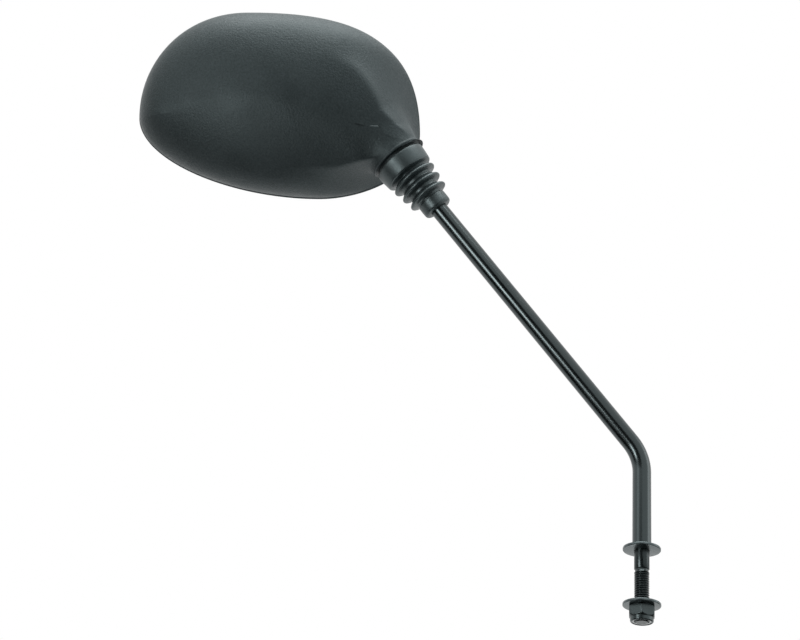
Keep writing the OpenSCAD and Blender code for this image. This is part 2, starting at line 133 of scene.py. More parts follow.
neck_and_pin = [(NECK_FROM + 0.2 * MM, BAR_R - 0.1 * MM), (NECK_FROM + 2 * MM, NECK_R), (PIN_FROM, NECK_R),
                (PIN_FROM, PIN_R), (PIN_TO, PIN_R)]
bar_rings += [ring_at(BALL_AT + s * UPPER_DIR, UPPER_SIDE, UPPER_DIR, r) for s, r in upper_bar + neck_and_pin]
stem_bar = keep_edges(skin_rings("stem_bar", bar_rings))


def add_node(tree, kind, x=0, y=0, **values):
    """One shader node with its properties and its sockets' values set by name."""
    node = tree.nodes.new(kind)
    node.location = (x, y)
    for key, value in values.items():
        if hasattr(node, key):
            setattr(node, key, value)
        else:
            node.inputs[key.replace("_", " ")].default_value = value
    return node


def join(tree, *pairs):
    """Each output is linked to the input beside it."""
    for output, socket in pairs:
        tree.links.new(output, socket)


def set_range(node, low, high, from_low=0.0, from_high=1.0):
    """A Map Range node turns from_low..from_high into low..high."""
    node.inputs["From Min"].default_value, node.inputs["From Max"].default_value = from_low, from_high
    node.inputs["To Min"].default_value, node.inputs["To Max"].default_value = low, high


def new_finish(name, **values):
    """A material whose Principled BSDF has these constants on its own sockets."""
    material = bpy.data.materials.new(name)
    material.use_nodes = True
    tree = material.node_tree
    tree.nodes.clear()
    out = add_node(tree, "ShaderNodeOutputMaterial", 500, 0)
    shader = add_node(tree, "ShaderNodeBsdfPrincipled", 200, 0)
    for key, value in values.items():
        shader.inputs[key.replace("_", " ")].default_value = value
    join(tree, (shader.outputs[0], out.inputs[0]))
    return material, tree, shader


# Grain: soft unevenness of a moulded or coated face, put out as two masks and as a bump height.
grain = bpy.data.node_groups.new("surface_grain", "ShaderNodeTree")
for label in ("Fine Scale", "Cloud Scale"):
    grain.interface.new_socket(name=label, in_out="INPUT", socket_type="NodeSocketFloat")
for label in ("Fine Mask", "Cloud Mask", "Height"):
    grain.interface.new_socket(name=label, in_out="OUTPUT", socket_type="NodeSocketFloat")
g_in = add_node(grain, "NodeGroupInput", -600, 0)
g_out = add_node(grain, "NodeGroupOutput", 400, 0)
g_place = add_node(grain, "ShaderNodeTexCoord", -600, -200)
g_fine = add_node(grain, "ShaderNodeTexNoise", -300, 150, Detail=6.0, Roughness=0.65)
g_cloud = add_node(grain, "ShaderNodeTexNoise", -300, -150, Detail=3.0, Roughness=0.5)
g_mix = add_node(grain, "ShaderNodeMath", 100, 0, operation="MULTIPLY_ADD")
CLOUD_SHARE = 0.35
g_mix.inputs[1].default_value = CLOUD_SHARE
join(grain, (g_place.outputs["Object"], g_fine.inputs["Vector"]),
     (g_place.outputs["Object"], g_cloud.inputs["Vector"]),
     (g_in.outputs["Fine Scale"], g_fine.inputs["Scale"]),
     (g_in.outputs["Cloud Scale"], g_cloud.inputs["Scale"]),
     (g_cloud.outputs[0], g_mix.inputs[0]), (g_fine.outputs[0], g_mix.inputs[2]),
     (g_fine.outputs[0], g_out.inputs["Fine Mask"]), (g_cloud.outputs[0], g_out.inputs["Cloud Mask"]),
     (g_mix.outputs[0], g_out.inputs["Height"]))


def grained(name, dark, light, fine, cloud, rough, bump, use_fine=0.6, **values):
    """A finish whose colour, roughness and relief vary with the surface grain."""
    noise_range = 0.3, 0.7
    material, tree, shader = new_finish(name, **values)
    g = add_node(tree, "ShaderNodeGroup", -700, 0)
    g.node_tree = grain
    g.inputs["Fine Scale"].default_value, g.inputs["Cloud Scale"].default_value = fine, cloud
    mask = add_node(tree, "ShaderNodeMix", -500, 200, data_type="FLOAT")
    mask.inputs[0].default_value = use_fine
    tint = add_node(tree, "ShaderNodeValToRGB", -250, 200)
    for stop, position, colour in zip(tint.color_ramp.elements, noise_range, (dark, light)):
        stop.position, stop.color = position, (*colour, 1)
    roughness = add_node(tree, "ShaderNodeMapRange", -250, -50)
    set_range(roughness, *rough, *noise_range)
    relief = add_node(tree, "ShaderNodeBump", -50, -300, Strength=bump[0], Distance=bump[1])
    join(tree, (g.outputs["Cloud Mask"], mask.inputs[2]), (g.outputs["Fine Mask"], mask.inputs[3]),
         (mask.outputs[0], tint.inputs[0]), (g.outputs["Cloud Mask"], roughness.inputs[0]),
         (g.outputs["Height"], relief.inputs["Height"]), (tint.outputs[0], shader.inputs["Base Color"]),
         (roughness.outputs[0], shader.inputs["Roughness"]), (relief.outputs[0], shader.inputs["Normal"]))
    return material


# What the black faces mirror looks slightly cool.
COOL = (0.8, 0.98, 1.0, 1.0)
stem_bar.data.materials.append(grained(
    "black_coat", dark=(0.003, 0.0042, 0.0044), light=(0.005, 0.0066, 0.0068), fine=900, cloud=60,
    rough=(0.2, 0.26), bump=(0.01, 0.0001), use_fine=0.3, Specular_Tint=COOL, Specular_IOR_Level=0.8))
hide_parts("stem")
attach(stem_bar, "stem_side")

# Stud. The lower end of the bar is turned to 8 mm: a register that holds the washer, a plain
# shank, a run-out groove and a rolled M8 thread with a chamfered end. Sizes of this piece and
# the next ones are in millimetres.
STUD_R, REGISTER_R, RUN_OUT_R = 4.0, 4.18, 3.6
REGISTER_TOP, SHANK_END, RUN_OUT_END = 1.5, -10.2, -11.9
THREAD_PITCH, THREAD_DEPTH, CREST_R = 1.25, 0.68, 3.95
THREAD_TOP, THREAD_END, END_CHAMFER = -12.3, -39.0, 0.9
THREAD_ROWS = 330
# Shares of one pitch: half of the crest's flat, and one flank.
HALF_CREST, FLANK = 0.06, 0.34
shank = ((REGISTER_TOP, REGISTER_R), (0.05, REGISTER_R), (0, STUD_R), (SHANK_END, STUD_R),
         (SHANK_END - 0.2, STUD_R - 0.15), (SHANK_END - 0.4, RUN_OUT_R), (RUN_OUT_END, RUN_OUT_R))
stud_rings = [ring_at(Vector((0, 0, z * MM)), SIDEWAYS, UP, r * MM) for z, r in shank]
for k in range(THREAD_ROWS + 1):
    z = THREAD_TOP + (THREAD_END - THREAD_TOP) * k / THREAD_ROWS
    depth = THREAD_DEPTH * min(1.0, (THREAD_TOP - z) / 0.8, (z - THREAD_END) / 0.3 + 0.6)
    ring = []
    for i in range(BAR_SIDES):
        a = 2 * math.pi * i / BAR_SIDES
        phase = (z / THREAD_PITCH - a / (2 * math.pi)) % 1.0
        tooth = min(1.0, max(0.0, (abs(phase - 0.5) - HALF_CREST) / FLANK))
        r = min(CREST_R - depth * tooth, CREST_R - max(0.0, THREAD_END + END_CHAMFER - z))
        ring.append(MM * Vector((r * math.cos(a), r * math.sin(a), z)))
    stud_rings.append(ring)
stud = keep_edges(skin_rings("stud", stud_rings[::-1]), 50)
stud.data.materials.append(grained(
    "stud_coat", dark=(0.006, 0.009, 0.0095), light=(0.012, 0.016, 0.017), fine=1400, cloud=90,
    rough=(0.2, 0.34), bump=(0.1, 0.0002), Specular_Tint=COOL))
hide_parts("stem")
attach(stud, "stem_side")

# Washers. Two punched flat washers, gloss black like the bar but painted lighter, as painted light on their
# undersides;
# the upper one is pushed on to the register under the shoulder, the lower one lies on the nut.
WASHER_R, WASHER_BORE, WASHER_H = 10.0, 4.2, 1.5
LOWER_WASHER_AT = -30.4


def turned(name, profile, centre=Vector((0, 0, 0)), across=SIDEWAYS, axis=UP, count=96, sharp=32):
    """A ring turned on a lathe: its profile goes round as (height, radius) in millimetres."""
    rings = [ring_at(centre + h * MM * axis, across, axis, r * MM, count) for h, r in profile]
    return keep_edges(skin_rings(name, rings, ends=False), sharp)


def close_ring(profile):
    """The profile of a ring goes round and ends where it starts."""
    return profile + [profile[0]]


washer_profile = [(0, WASHER_BORE + 0.1), (0, WASHER_R - 0.5), (0.08, WASHER_R - 0.22),
                  (0.3, WASHER_R - 0.03), (0.55, WASHER_R), (WASHER_H - 0.25, WASHER_R),
                  (WASHER_H - 0.05, WASHER_R - 0.1), (WASHER_H, WASHER_R - 0.3),
                  (WASHER_H, WASHER_BORE + 0.25), (WASHER_H - 0.15, WASHER_BORE), (0.1, WASHER_BORE)]
# Painted light: the washers' black is painted lighter than the bar's to stand in for light falling on their
# undersides.
washer_coat_painted_light = grained("washer_coat_painted_light", dark=(0.03, 0.04, 0.042), light=(0.045, 0.057, 0.06), fine=1100,
                      cloud=80, rough=(0.2, 0.34), bump=(0.08, 0.0002), Specular_Tint=COOL,
                      Specular_IOR_Level=0.9)
for name, z, body in (("washer_upper", 0.0, "stem_side"), ("washer_lower", LOWER_WASHER_AT, "washer")):
    washer = turned(name, close_ring(washer_profile), Vector((0, 0, z * MM)))
    washer.data.materials.append(washer_coat_painted_light)
    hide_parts("upper_washer" if body == "stem_side" else "lower_washer")
    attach(washer, body)

# Lock nut. A hexagon of dark plated steel, 13 mm across its flats, chamfered at the seat, with a
# round collar rolled over a nylon ring at its lower end.
NUT_TOP = LOWER_WASHER_AT
HALF_FLATS = 6.5
NUT_BORE, RING_SEAT_R, COLLAR_R = 4.0, 5.2, 6.08
NUT_TURN = math.radians(-22.4)
FIRST_CORNER = math.radians(120)
NUT_SIDES = 192


def hex_radius(a):
    """Distance from the axis to the hexagon's side in direction a."""
    b = (a + math.pi / 6) % (math.pi / 3) - math.pi / 6
    return HALF_FLATS / math.cos(b)


# Each row is a height, a radius and whether the hexagon cuts the round there.
nut_profile = [(0, NUT_BORE + 0.4, False), (0, 6.2, False), (-0.12, 6.65, True), (-0.45, 7.15, True),
               (-0.8, 7.6, True), (-4.9, 7.6, True), (-5.35, 7.2, True), (-5.75, 6.8, True),
               (-6.1, 6.45, True), (-6.3, 6.15, False), (-6.6, COLLAR_R, False), (-7.7, COLLAR_R, False),
               (-8.15, COLLAR_R - 0.1, False), (-8.45, 5.72, False), (-8.6, 5.4, False), (-8.58, 5.22, False),
               (-8.2, RING_SEAT_R, False), (-6.35, RING_SEAT_R, False), (-6.3, NUT_BORE + 0.05, False),
               (-0.5, NUT_BORE, False), (0, NUT_BORE + 0.4, False)]
nut_rings = []
for z, r, is_hex in nut_profile:
    ring = []
    for i in range(NUT_SIDES):
        a = 2 * math.pi * i / NUT_SIDES
        reach = min(r, hex_radius(a)) if is_hex else r
        turn = a + NUT_TURN + FIRST_CORNER
        ring.append(MM * Vector((reach * math.cos(turn), reach * math.sin(turn), NUT_TOP + z)))
    nut_rings.append(ring)
nut = keep_edges(skin_rings("nut", nut_rings[::-1], ends=False), 24)
nut.data.materials.append(grained(
    "nut_plating", dark=(0.011, 0.016, 0.017), light=(0.02, 0.027, 0.028), fine=1200, cloud=120,
    rough=(0.24, 0.4), bump=(0.15, 0.0002), use_fine=0.5, Specular_Tint=COOL, Specular_IOR_Level=0.8))
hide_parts("lock_nut")
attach(nut, "nut")

# Nylon ring. It is pressed into the nut's collar and grips the thread; its pale face shows from
# below.
NYLON_TOP, NYLON_END, NYLON_R, NYLON_BORE = -6.4, -8.2, 5.15, 4.02
nylon_profile = [(NYLON_TOP, NYLON_BORE), (NYLON_TOP, NYLON_R), (NYLON_END + 0.15, NYLON_R),
                 (NYLON_END, NYLON_R - 0.15), (NYLON_END - 0.02, 4.4), (NYLON_END + 0.15, NYLON_BORE + 0.03)]
nylon_ring = turned("nylon_ring", close_ring(nylon_profile)[::-1], Vector((0, 0, NUT_TOP * MM)))
nylon_ring.data.materials.append(grained(
    "nylon", dark=(0.66, 0.7, 0.7), light=(0.76, 0.8, 0.8), fine=700, cloud=80, rough=(0.35, 0.5),
    bump=(0.1, 0.0002), use_fine=0.4))
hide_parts("nut_insert")
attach(nylon_ring, "nut")

# Ball. A hardened steel ball, bored and pressed on the pin at the stem's end, and ground bright.
# It is shown as the CAD has it.


def ground_steel(name, base, rough, stretch):
    """Bright steel with fine lines left by the tool."""
    material, tree, shader = new_finish(name, Metallic=1.0)
    place = add_node(tree, "ShaderNodeTexCoord", -900, 0)
    squeeze = add_node(tree, "ShaderNodeMapping", -700, 0, Scale=stretch)
    lines = add_node(tree, "ShaderNodeTexNoise", -500, 0, Scale=260.0, Detail=5.0)
    tint = add_node(tree, "ShaderNodeValToRGB", -250, 150)
    tint.color_ramp.elements[0].color = (*[v * 0.8 for v in base], 1)
    tint.color_ramp.elements[1].color = (*base, 1)
    roughness = add_node(tree, "ShaderNodeMapRange", -250, -100)
    set_range(roughness, rough * 0.7, rough * 1.3)
    relief = add_node(tree, "ShaderNodeBump", -50, -300, Strength=0.1, Distance=0.0001)
    join(tree, (place.outputs["Object"], squeeze.inputs["Vector"]),
         (squeeze.outputs[0], lines.inputs["Vector"]),
         (lines.outputs[0], tint.inputs[0]), (lines.outputs[0], roughness.inputs[0]),
         (lines.outputs[0], relief.inputs["Height"]), (tint.outputs[0], shader.inputs["Base Color"]),
         (roughness.outputs[0], shader.inputs["Roughness"]), (relief.outputs[0], shader.inputs["Normal"]))
    return material


def dress(node, finish):
    """A CAD node that is shown as it is gets its finish."""
    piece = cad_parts[node]
    piece.data.materials.clear()
    piece.data.materials.append(finish)


ground_ball = ground_steel("ground_ball", base=(0.62, 0.62, 0.61), rough=0.16, stretch=(1, 1, 6))
dress("ball", ground_ball)

# Seats. Two moulded nylon seats hold the ball: a ring below it, and a cup above it that the spring
# presses down.
seat_nylon = grained("seat_nylon", dark=(0.6, 0.58, 0.52), light=(0.72, 0.7, 0.64), fine=600, cloud=70,
                     rough=(0.38, 0.5), bump=(0.15, 0.0002), use_fine=0.4)
dress("friction_ring", seat_nylon)
dress("pressure_cup", seat_nylon)

# Boot. A rubber bellows with a collar gripped on the housing's neck, ribs that get smaller and a
# tail that grips the bar. It is moulded in satin black rubber; the real boot bends when the head is turned,
# but here its two pieces stay where they are.
# Its heights are in millimetres from BOOT_TOP along the bar's axis, negative towards the stud.
SIDE_TURN = Matrix.Rotation(math.radians(-12.3), 3, "Z") @ Matrix.Rotation(math.radians(28.5), 3, "X")
GLASS_OUT = SIDE_TURN @ Vector((0, 1, 0))
SOCKET_TURN = math.atan2(GLASS_OUT.y, GLASS_OUT.dot(UPPER_SIDE)) - math.pi / 2
SOCKET = Matrix.Rotation(-BEND, 3, "Y") @ Matrix.Rotation(SOCKET_TURN, 3, "Z")
SOCKET_X = SOCKET @ SIDEWAYS
BOOT_TOP = BALL_AT - 7.5 * MM * UPPER_DIR
RIBS = [-14.3, -20.6, -26.9]
FIRST_RIB_R, RIB_STEP, FOLD_DEPTH = 13.9, 0.9, 2.9
RUBBER, RIB_RUBBER = 1.3, 1.6
COLLAR_IN = 14.2
TAIL_TOP, TAIL_END, TAIL_R, TAIL_IN = -30.5, -36.9, 8.6, 5.06
CUT_AT, CUT_GAP = -17.5, 0.5
BEND_FROM, BEND_TO = -29, -11
ROUND_SIDES = 160


def rib_radius(k):
    """The radius of rib k at its crest; each rib is smaller than the one above it."""
    return FIRST_RIB_R - RIB_STEP * k


def fold_radius(k):
    """The radius at the bottom of the fold above rib k."""
    return rib_radius(k) - FOLD_DEPTH


def rounded(points, times=2, keep=0.25):
    """Corners of an open profile are cut again and again until they look round."""
    for _ in range(times):
        new = [points[0]]
        for (h0, r0), (h1, r1) in zip(points, points[1:]):
            dh, dr = keep * (h1 - h0), keep * (r1 - r0)
            new += [(h0 + dh, r0 + dr), (h1 - dh, r1 - dr)]
        points = new + [points[-1]]
    return points


boot_outer = [(-0.3, COLLAR_IN), (-0.2, 14.9), (-0.35, 15.25), (-0.8, 15.42), (-4, 15.25), (-9.3, 14.62),
              (-9.85, 14.35), (-10.2, 13.8), (-10.5, 12.0), (-11.4, 11.0)]
for k, h in enumerate(RIBS):
    rib, fold, next_fold = rib_radius(k), fold_radius(k), fold_radius(k + 1)
    boot_outer += [(h + 2.5, fold), (h + 2.0, fold + 0.9), (h + 1.5, fold + 1.2), (h + 1.3, fold + 1.9),
                   (h + 0.75, rib - 0.35), (h + 0.3, rib), (h - 0.35, rib), (h - 0.85, rib - 0.5),
                   (h - 1.3, next_fold + 0.7), (h - 2.0, next_fold)]
boot_outer += [(TAIL_TOP + 0.7, TAIL_R - 0.6), (TAIL_TOP + 0.55, TAIL_R - 0.15), (TAIL_TOP, TAIL_R),
               (TAIL_END + 1.5, TAIL_R), (TAIL_END + 0.5, TAIL_R - 0.3), (TAIL_END, TAIL_R - 1.0)]
boot_inner = [(TAIL_END, TAIL_IN), (TAIL_TOP, TAIL_IN)]
for k, below, above in ((2, 1.7, 2.0), (1, 1.6, 2.0), (0, 1.6, 1.9)):
    boot_inner += [(RIBS[k] - below, fold_radius(k + 1) - RUBBER), (RIBS[k], rib_radius(k) - RIB_RUBBER),
                   (RIBS[k] + above, fold_radius(k) - RUBBER)]
boot_inner += [(-10.0, fold_radius(0) - RUBBER), (-8.5, COLLAR_IN), (-0.3, COLLAR_IN)]
rubber_black = grained("rubber_black", dark=(0.024, 0.034, 0.036), light=(0.038, 0.05, 0.052), fine=1300,
                       cloud=120, rough=(0.34, 0.46), bump=(0.3, 0.0002), use_fine=0.5, Specular_Tint=COOL,
                       Specular_IOR_Level=0.7)
cut_edge = [(CUT_AT, fold_radius(1)), (CUT_AT, fold_radius(1) - RUBBER)]
boot_outer, boot_inner = rounded(boot_outer), rounded(boot_inner)
lower_profile = cut_edge[:1] + [p for p in boot_outer + boot_inner if p[0] <= CUT_AT] + cut_edge[1:]
upper_profile = ([p for p in boot_outer if p[0] >= CUT_AT] + cut_edge
                 + [p for p in boot_inner if p[0] >= CUT_AT])
for name, profile, bodies, bend_from, bend_to in (
        ("boot_lower", lower_profile, ("lower_seat", "upper_seat"), BEND_FROM, CUT_AT - CUT_GAP),
        ("boot_upper", upper_profile, ("upper_seat", "head"), CUT_AT + CUT_GAP, BEND_TO)):
    part = turned(name, close_ring(profile)[::-1], BOOT_TOP, SOCKET_X, UPPER_DIR, ROUND_SIDES, 40)
    part.data.materials.append(rubber_black)
    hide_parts("boot")
    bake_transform(part)

# Housing. One moulded shell of fine-grained dark plastic: a skin lofted from the teardrop rim to an
# arched ridge, a thin bead round the rim and a neck that swells out of the skin round the ball.
# Its points are in millimetres in the head's own frame: the ball is at 0 and the glass faces +Y.
HEAD = SIDE_TURN @ Matrix.Rotation(math.radians(-4.8), 3, "Y")
HEAD_IN, SOCKET_IN = HEAD.transposed(), SOCKET.transposed()
RIM_Y, BEAD_BACK, DEPTH = 24.0, 21.0, 43.0
SKIN_IN = 0.5
RIM_WIDTH = 3.3
FAR, TOP = Vector((-148.6, 21.5)), Vector((-84.7, 83.3))
NEAR, LOW = Vector((16.7, 12.6)), Vector((-42.6, -25.7))
QUARTERS = [(FAR, FAR + Vector((0, 35.5)), TOP - Vector((36.4, 0)), TOP),
            (TOP, TOP + Vector((55.5, 0)), NEAR + Vector((0, 60.3)), NEAR),
            (NEAR, NEAR - Vector((0, 24.9)), LOW + Vector((25.8, 0)), LOW),
            (LOW, LOW - Vector((52.5, 0)), FAR - Vector((0, 24.5)), FAR)]
EDGE = 240
RING = 2 * EDGE
SPLIT = 0.58
SKIN_ROWS = 58


def rim_at(t):
    """The rim's outline at t, which goes from 0 to 1 round its four quarters."""
    k = min(3, int(4 * t))
    a, b, c, d = QUARTERS[k]
    f = 4 * t - k
    return (1 - f) ** 3 * a + 3 * (1 - f) ** 2 * f * b + 3 * (1 - f) * f * f * c + f ** 3 * d


# The upper edge runs from the far tip to the neck and the lower edge runs back, with as many points.
rim = [rim_at(SPLIT * i / EDGE) for i in range(EDGE + 1)]
rim += [rim_at(SPLIT + (1 - SPLIT) * (i / EDGE - 1)) for i in range(EDGE + 1, RING)]
rim_in = []
for i in range(RING):
    v = (rim[(i + 1) % RING] - rim[i - 1]).normalized()
    rim_in.append(Vector((v.y, -v.x)))
RIDGE_FAR, RIDGE_NEAR, RIDGE_ARCH = FAR + Vector((15, 0)), Vector((-7, 13)), 13
RIDGE_SLOW = 0.15
DEEPEST_AT, FAR_DEPTH, NEAR_DEPTH = 0.62, 0.6, 0.9


def smooth_step(a, b, x):
    """Goes smoothly from 0 at a to 1 at b."""
    t = min(1.0, max(0.0, (x - a) / (b - a)))
    return t * t * (3 - 2 * t)


def ridge_point(s):
    """The ridge starts slowly, so that the skin runs round its far end, and is arched between its ends."""
    step = RIDGE_NEAR - RIDGE_FAR
    far = (1 + RIDGE_SLOW) * s * s / (s + RIDGE_SLOW)
    arch = RIDGE_ARCH * math.sin(math.pi * s) ** 2
    return RIDGE_FAR + Vector((far * step.x, smooth_step(0, 1, s) * step.y + arch))


def ridge_depth(s):
    """How far the ridge lies behind the rim: deepest at DEEPEST_AT, shallow at its far end."""
    if s < DEEPEST_AT:
        grow = math.sin(math.pi / 2 * max(0.0, s) / DEEPEST_AT) ** 1.35
        return DEPTH * (FAR_DEPTH + (1 - FAR_DEPTH) * grow)
    fade = math.cos(math.pi / 2 * (s - DEEPEST_AT) / (1 - DEEPEST_AT))
    return DEPTH * (NEAR_DEPTH + (1 - NEAR_DEPTH) * fade)


def straight_share(s, p):
    """How much of the skin's rise from p is straight: as much as the ridge itself climbs on that way,
    and a little more over the head's middle, which leaves a faint crease."""
    k = max(0.05, s)
    ahead = ridge_point(k + 0.01) - ridge_point(k - 0.01)
    climb = (ridge_depth(k + 0.01) - ridge_depth(k - 0.01)) / ahead.length
    with_ridge = climb * (ridge_point(s) - p).dot(ahead.normalized()) / ridge_depth(s)
    crease = (0.02 + 0.05 * smooth_step(0.0, 0.3, s)) * (1 - smooth_step(0.6, 0.8, s))
    return min(0.3, max(0.0, with_ridge)) * (1 - 0.4 * smooth_step(0.75, 0.95, s)) + crease


def flat_wall(upper, s, run):
    """Next to the neck a flat wall rises from the rim on both sides and ends in a soft edge under a
    crown. Gives how much of this holds at s, and its rise."""
    soft = 0.05
    round_off = math.sin(math.pi / 2 * run) ** (1 - 0.6 * smooth_step(0.7, 0.85, s))
    if upper:
        holds = smooth_step(0.6, 0.8, s) * (1 - smooth_step(0.94, 1.0, s))
        wall, crown = 0.18 + (1.75 + 3 * smooth_step(0.82, 0.97, s)) * run, 0.7 + 0.3 * round_off
    else:
        holds = smooth_step(0.5, 0.85, s) * (1 - smooth_step(0.96, 1.0, s))
        wall, crown = 0.08 + 2.4 * run, 0.62 + 0.38 * round_off
    gap = max(0.0, soft - abs(wall - crown)) / soft
    return holds, min(wall, crown, 1.0) - soft / 4 * gap * gap


def skin_point(i, u):
    """A point of the skin: i runs round the rim, u from the rim to the ridge."""
    upper = i <= EDGE
    s = (i if upper else RING - i) / EDGE
    p = rim[i] + SKIN_IN * rim_in[i]
    run = 1 - math.cos(math.pi / 2 * u)
    xz = p + (ridge_point(s) - p) * run
    bulge = math.sin(math.pi / 2 * u) ** (0.6 + 0.2 * (1 - smooth_step(0.0, 0.5, s)))
    holds, flat = flat_wall(upper, s, run)
    bulge += holds * (flat - bulge)
    straight = straight_share(s, p)
    rise = (1 - straight) * bulge + straight * run
    return Vector((xz.x, RIM_Y - (ridge_depth(s) - SKIN_IN) * rise, xz.y))


# The neck is an oval along the ball's axis: height, half its width towards the ears, half its depth.
NECK_LOW, NECK_EARS, NECK_TOP = (-3, 15.7, 15.7), (17, 17.9, 15.1), (40, 15.5, 6.2)
NECK_FADE = 36, 60
NECK_REACH, NECK_END, NECK_CORNER = 45, -40, 8
AXIS_GAP = 2.6


def neck_radius(s, a):
    """The neck's radius at height s in direction a; below, it flares a little towards the lip."""
    if s < NECK_LOW[0]:
        return NECK_LOW[1] + 2.3 * smooth_step(-5.6, -7.2, s)
    (s0, w0, d0), (s1, w1, d1) = (NECK_LOW, NECK_EARS) if s < NECK_EARS[0] else (NECK_EARS, NECK_TOP)
    f = min(1.0, (s - s0) / (s1 - s0))
    wide, deep = w0 + (w1 - w0) * f, d0 + (d1 - d0) * f
    return (1 - smooth_step(*NECK_FADE, s)) / math.hypot(math.cos(a) / wide, math.sin(a) / deep)


def around_neck(p):
    """Moves a point of the skin out to the neck's surface; far from the neck it stays where it is.
    Gives its distance from the axis too."""
    q = SOCKET_IN @ (HEAD @ p)
    r = max(0.001, math.hypot(q.x, q.y))
    if r > NECK_REACH or q.z < NECK_END:
        return p, r
    a = math.atan2(q.y, q.x)
    reach = (r ** NECK_CORNER + neck_radius(q.z, a) ** NECK_CORNER) ** (1 / NECK_CORNER)
    return HEAD_IN @ (SOCKET @ Vector((reach * math.cos(a), reach * math.sin(a), q.z))), r


def rim_ring(inset, y):
    """The rim's outline at depth y, moved inwards by inset."""
    return [Vector((p.x, y, p.y)) for p in (rim[i] + inset * rim_in[i] for i in range(RING))]


# From the inside round the rim's edge and its bead to the skin's first row: inset and depth.
rim_path = [(RIM_WIDTH + 1.2, 12.0), (RIM_WIDTH, 15.0), (RIM_WIDTH, RIM_Y - 0.25), (RIM_WIDTH - 0.25, RIM_Y),
            (0.45, RIM_Y), (0.12, RIM_Y - 0.12), (0, RIM_Y - 0.45), (0, BEAD_BACK + 0.5),
            (0.1, BEAD_BACK + 0.15), (0.3, BEAD_BACK), (SKIN_IN + 0.1, BEAD_BACK - 0.1)]
shell_rings = [rim_ring(inset, y) for inset, y in rim_path]
on_axis = set()
for k in range(SKIN_ROWS + 1):
    u = 0.03 + 0.96 * (k / SKIN_ROWS) ** 1.25 if k < SKIN_ROWS else 1.0
    ring = []
    for i in range(RING):
        p = skin_point(i, u)
        if k < SKIN_ROWS:
            p.y = min(p.y, BEAD_BACK - 0.2 - u)
        moved, r = around_neck(p)
        ring.append(moved)
        if r < AXIS_GAP:
            on_axis.add(len(shell_rings) * RING + i)
    shell_rings.append(ring)
housing_verts = [tuple(BALL_AT + MM * (HEAD @ p)) for ring in shell_rings for p in ring]
housing_faces = [f for f in ring_faces(RING, len(shell_rings)) if not on_axis.issuperset(f)]

# The neck's end is a lathe shape: height on the ball's axis and radius, from inside the skin over
# the rolled lip and the groove for the boot's collar to the bore.
lip = [(3.0, 14.7), (-3.0, 15.0), (-3.9, 15.6), (-4.05, 15.95), (-4.3, 16.1), (-5.2, 16.1), (-5.45, 15.95),
       (-5.55, 15.6), (-5.5, 13.2), (-5.6, 12.9), (-7.9, 12.9), (-8.0, 14.05), (-13.9, 14.05), (-14.0, 13.9),
       (-14.0, 12.5), (3.0, 12.5)]
lip_faces = ring_faces(ROUND_SIDES, len(lip), first=len(housing_verts))
housing_faces += [(a, d, c, b) for a, b, c, d in lip_faces]
for s, r in lip:
    lip_ring = ring_at(BALL_AT + s * MM * UPPER_DIR, SOCKET_X, UPPER_DIR, r * MM, ROUND_SIDES)
    housing_verts += [tuple(p) for p in lip_ring]
housing_mesh = bpy.data.meshes.new("housing_shell")
housing_mesh.from_pydata(housing_verts, [], housing_faces)
housing_mesh.update()
housing_shell = bpy.data.objects.new("housing_shell", housing_mesh)
bpy.context.collection.objects.link(housing_shell)
for face in housing_mesh.polygons:
    face.use_smooth = True
weld = housing_shell.modifiers.new("weld", "WELD")
weld.merge_threshold = 0.01 * MM
keep_edges(housing_shell, 34)
housing_mesh.materials.append(grained(
    "shell_plastic", dark=(0.018, 0.026, 0.028), light=(0.056, 0.073, 0.076), fine=900, cloud=45,
    rough=(0.42, 0.54), bump=(0.7, 0.0004), use_fine=0.75, Specular_Tint=COOL, Specular_IOR_Level=0.35))
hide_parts("housing")
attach(housing_shell, "head")

# Spring and retainer. A coiled wire spring presses the upper seat on the ball; a stamped plate with
# two screws in the housing's ears closes the stack.
pressed_steel = ground_steel("pressed_steel", base=(0.55, 0.55, 0.54), rough=0.3, stretch=(3, 1, 1))
dress("spring", pressed_steel)
dress("retainer_plate", pressed_steel)
dress("retainer_screws", pressed_steel)

# Backing plate. A thin moulded plate behind the glass; three countersunk screws hold it on bosses
# in the housing.
plate_plastic = grained("plate_plastic", dark=(0.02, 0.021, 0.022), light=(0.03, 0.031, 0.032), fine=900,
                        cloud=60, rough=(0.45, 0.6), bump=(0.25, 0.0002), use_fine=0.5)
dress("backing_plate", plate_plastic)
dress("plate_screws", pressed_steel)

# Foam pad. A sheet of closed-cell foam, cut to the glass's outline. It has glue on both sides and
# sits between the plate and the glass.
foam_cells = grained("foam_cells", dark=(0.05, 0.05, 0.05), light=(0.1, 0.1, 0.1), fine=1600, cloud=150,
                     rough=(0.8, 0.95), bump=(0.8, 0.0004), use_fine=0.7)
dress("foam_pad", foam_cells)

# Glass. Slightly convex mirror glass, silvered on its back and ground round its edge. It is stuck
# on the foam pad.
mirror_glass = grained("mirror_glass", dark=(0.82, 0.85, 0.86), light=(0.86, 0.885, 0.895), fine=300,
                       cloud=12, rough=(0.012, 0.03), bump=(0.01, 0.0001), use_fine=0.2, Metallic=1.0)
dress("glass", mirror_glass)

# Rim seal. A soft rubber strip, moulded in the boot's black rubber and pushed in between the
# glass's edge and the housing's rim.
dress("rim_seal", rubber_black)

# Studio. A pale floor, four soft lamps, a narrow one along the bar, two black cards and white
# surroundings. Its places and sizes are in metres.
FLOOR_AT, FLOOR_HALF, FLOOR_GLOW = -1, 6, 0.45
HEAD_AND_BAR, BAR_MIDDLE = Vector((-0.2, 0.0, 0.2)), Vector((-0.08, 0.0, 0.14))
STUD_MIDDLE = Vector((0.0, 0.0, -0.04))


